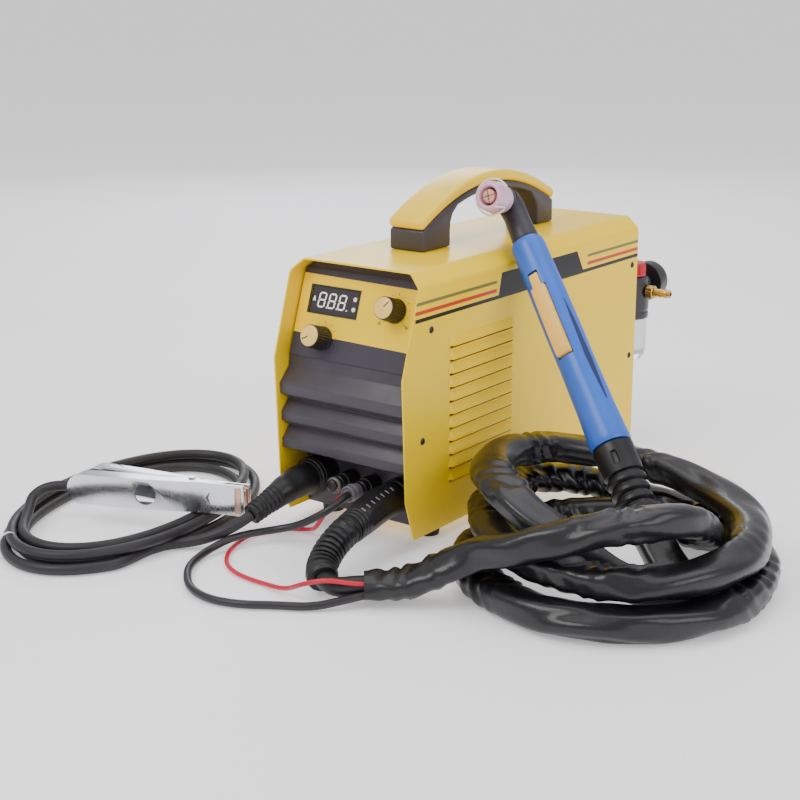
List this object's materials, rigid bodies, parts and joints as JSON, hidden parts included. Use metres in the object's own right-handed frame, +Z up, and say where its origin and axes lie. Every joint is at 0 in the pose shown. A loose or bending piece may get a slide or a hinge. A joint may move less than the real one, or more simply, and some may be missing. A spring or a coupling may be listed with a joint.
{
  "type": "plasma cutter",
  "caption": "Portable plasma cutting power unit with carrying handle, front controls, rear air regulator, hand torch on a coiled sheathed hose, and an earth lead with a sprung clamp.",
  "frame": {"origin": "centre of the bottom of the box round the machine, torch and clamp, on the surface that they stand on", "axes": "+X to the torch's side, +Y to the rear where the air regulator is, +Z up; the control front faces -Y"},
  "size_m": [0.671, 0.6858, 0.3039],
  "materials": {
    "yellow_paint": "glossy",
    "yellow_plastic": "satin",
    "black_moulding": "satin",
    "black_panel_paint": "satin",
    "black_rubber": "matte",
    "black_sheath": "satin",
    "red_insulation": "glossy",
    "red_plastic": "satin",
    "bright_steel": "polished",
    "copper": "satin",
    "brass": "satin",
    "aluminium": "satin",
    "green_board": "matte",
    "smoked_window": "glossy",
    "black_cast_body": "satin",
    "clear_bowl": "glossy",
    "blue_plastic": "satin",
    "pink_ceramic": "matte",
    "white_wire": "satin"
  },
  "bodies": {
    "unit": {"base_pan": "yellow_paint", "cable_tie": "white_wire", "clamp_near_contact": "copper", "clamp_near_jaw": "bright_steel", "clamp_pin": "bright_steel", "clamp_spring": "bright_steel", "control_board": "green_board", "control_plate": "yellow_paint", "control_plug_left": "black_moulding", "control_plug_right": "black_moulding", "control_socket_left": "black_moulding", "control_socket_right": "black_moulding", "cover": "yellow_paint", "display_window": "smoked_window", "earth_cable": "black_rubber", "earth_coil": "black_rubber", "earth_plug": "black_rubber", "earth_socket": "black_moulding", "fan_frame": "black_moulding", "foot_front_left": "black_rubber", "foot_front_right": "black_rubber", "foot_rear_left": "black_rubber", "foot_rear_right": "black_rubber", "front_bezel": "black_moulding", "gas_valve": "brass", "handle_body": "black_moulding", "handle_grip": "yellow_plastic", "heatsink": "aluminium", "hose_barb": "brass", "mains_gland": "black_moulding", "pilot_wire": "red_insulation", "power_board": "green_board", "power_switch_body": "black_moulding", "pressure_gauge": "black_cast_body", "rear_panel": "black_panel_paint", "regulator_body": "black_cast_body", "regulator_bowl": "clear_bowl", "regulator_bracket": "bright_steel", "torch_bend_boot": "black_rubber", "torch_boot": "black_rubber", "torch_coil": "black_sheath", "torch_handle": "blue_plastic", "torch_head": "black_moulding", "torch_hose": "black_sheath", "torch_nozzle": "pink_ceramic", "torch_plug": "black_rubber", "torch_socket": "brass", "torch_spacer": "white_wire", "torch_tail": "black_sheath", "torch_tip": "copper", "transformer": "copper", "trigger_wire": "black_rubber"},
    "current_knob": {"current_knob": "black_moulding"},
    "gas_time_knob": {"gas_time_knob": "black_moulding"},
    "power_rocker": {"power_switch_rocker": "red_plastic"},
    "fan_rotor": {"fan_rotor": "black_moulding"},
    "regulator_knob": {"regulator_knob": "red_plastic"},
    "torch_trigger": {"torch_trigger": "yellow_plastic"},
    "clamp_far": {"clamp_far_jaw": "bright_steel", "clamp_far_contact": "copper"}
  },
  "joints": [
    {"name": "current_turn", "type": "hinge", "parent": "unit", "child": "current_knob", "pos_m": [0.0235, -0.14788, 0.20361], "axis": [0, -0.9452, 0.3266], "range_deg": [-150, 150]},
    {"name": "gas_time_turn", "type": "hinge", "parent": "unit", "child": "gas_time_knob", "pos_m": [-0.0486, -0.15889, 0.17176], "axis": [0, -0.9452, 0.3266], "range_deg": [-150, 150]},
    {"name": "power_rock", "type": "hinge", "parent": "unit", "child": "power_rocker", "pos_m": [-0.055, 0.2102, 0.18], "axis": [1, 0, 0], "range_deg": [-16, 0]},
    {"name": "fan_spin", "type": "hinge", "parent": "unit", "child": "fan_rotor", "pos_m": [-0.035, 0.2089, 0.074], "axis": [0, 1, 0], "continuous": true},
    {"name": "regulator_turn", "type": "hinge", "parent": "unit", "child": "regulator_knob", "pos_m": [0.03, 0.2557, 0.171], "axis": [0, 0, 1], "range_deg": [-720, 720]},
    {"name": "trigger_press", "type": "hinge", "parent": "unit", "child": "torch_trigger", "pos_m": [0.0851, -0.02913, 0.22928], "axis": [0.7792, 0.3229, 0.5373], "range_deg": [0, 3], "stiffness_Nm_per_rad": 0.6, "springref_deg": -8.59},
    {"name": "clamp_open", "type": "hinge", "parent": "unit", "child": "clamp_far", "pos_m": [-0.13371, -0.23982, 0.0345], "axis": [0, 0, 1], "range_deg": [0, 14], "stiffness_Nm_per_rad": 3, "springref_deg": -11.46}
  ]
}
